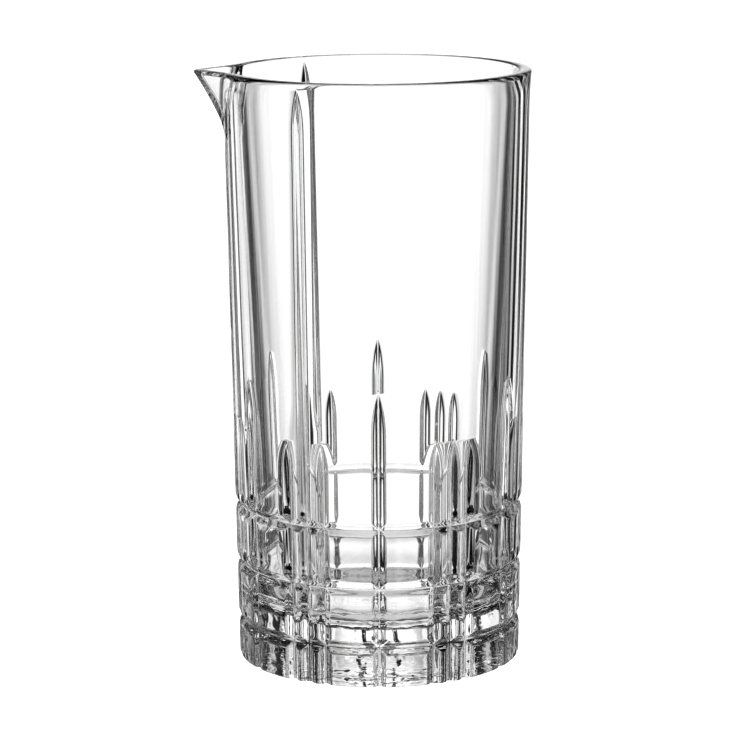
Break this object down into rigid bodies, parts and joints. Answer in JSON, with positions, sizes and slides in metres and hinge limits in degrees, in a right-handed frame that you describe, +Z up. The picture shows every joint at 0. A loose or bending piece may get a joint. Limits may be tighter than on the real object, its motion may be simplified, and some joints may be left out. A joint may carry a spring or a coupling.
{
  "type": "mixing glass",
  "caption": "Tall tapered clear glass mixing beaker with a thick base, mitre-cut lower wall and a pinched pouring spout.",
  "frame": {"origin": "centre of the flat base, on the axis of the vessel", "axes": "+Z up along the vessel's axis, -X towards the pouring spout; the XZ plane is the plane of symmetry"},
  "size_m": [0.1007, 0.0922, 0.178],
  "materials": {
    "clear_glass": "polished clear crystal"
  },
  "bodies": {
    "root": {"mixing_glass": "clear_glass"}
  },
  "joints": []
}
